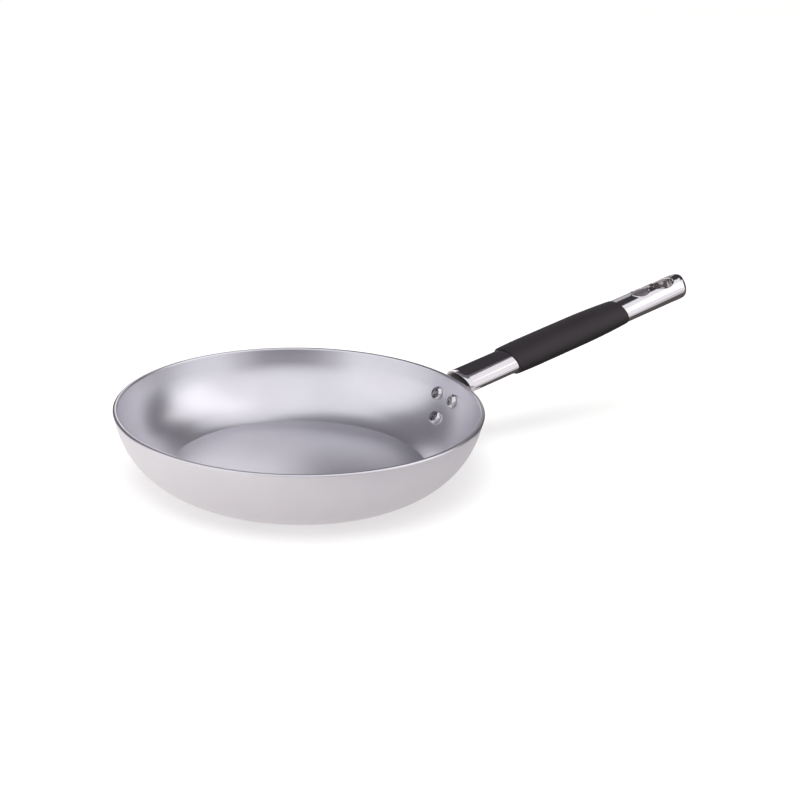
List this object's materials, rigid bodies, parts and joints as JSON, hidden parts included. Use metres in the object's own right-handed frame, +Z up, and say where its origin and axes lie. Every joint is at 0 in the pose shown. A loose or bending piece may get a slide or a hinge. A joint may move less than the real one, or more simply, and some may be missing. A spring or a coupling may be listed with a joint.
{
  "type": "omelette pan",
  "caption": "Shallow round frying pan for omelettes, with a curved wall and a long rising oval tube handle that has a grip sleeve and a hanging hole.",
  "frame": {"origin": "centre of the underside of the flat base", "axes": "+Z up out of the pan, +X from the pan's centre towards the handle, Y across"},
  "size_m": [0.4419, 0.2396, 0.0984],
  "materials": {
    "pan_aluminium": "satin, lightly brushed round the axis",
    "bracket_steel": "satin",
    "tube_steel": "polished",
    "sleeve_silicone": "matt silicone",
    "rivet_metal": "satin"
  },
  "bodies": {
    "root": {"pan_body": "pan_aluminium", "handle_bracket": "bracket_steel", "handle_tube": "tube_steel", "grip_sleeve": "sleeve_silicone", "rivet_upper_left": "rivet_metal", "rivet_upper_right": "rivet_metal", "rivet_lower": "rivet_metal"}
  },
  "joints": []
}
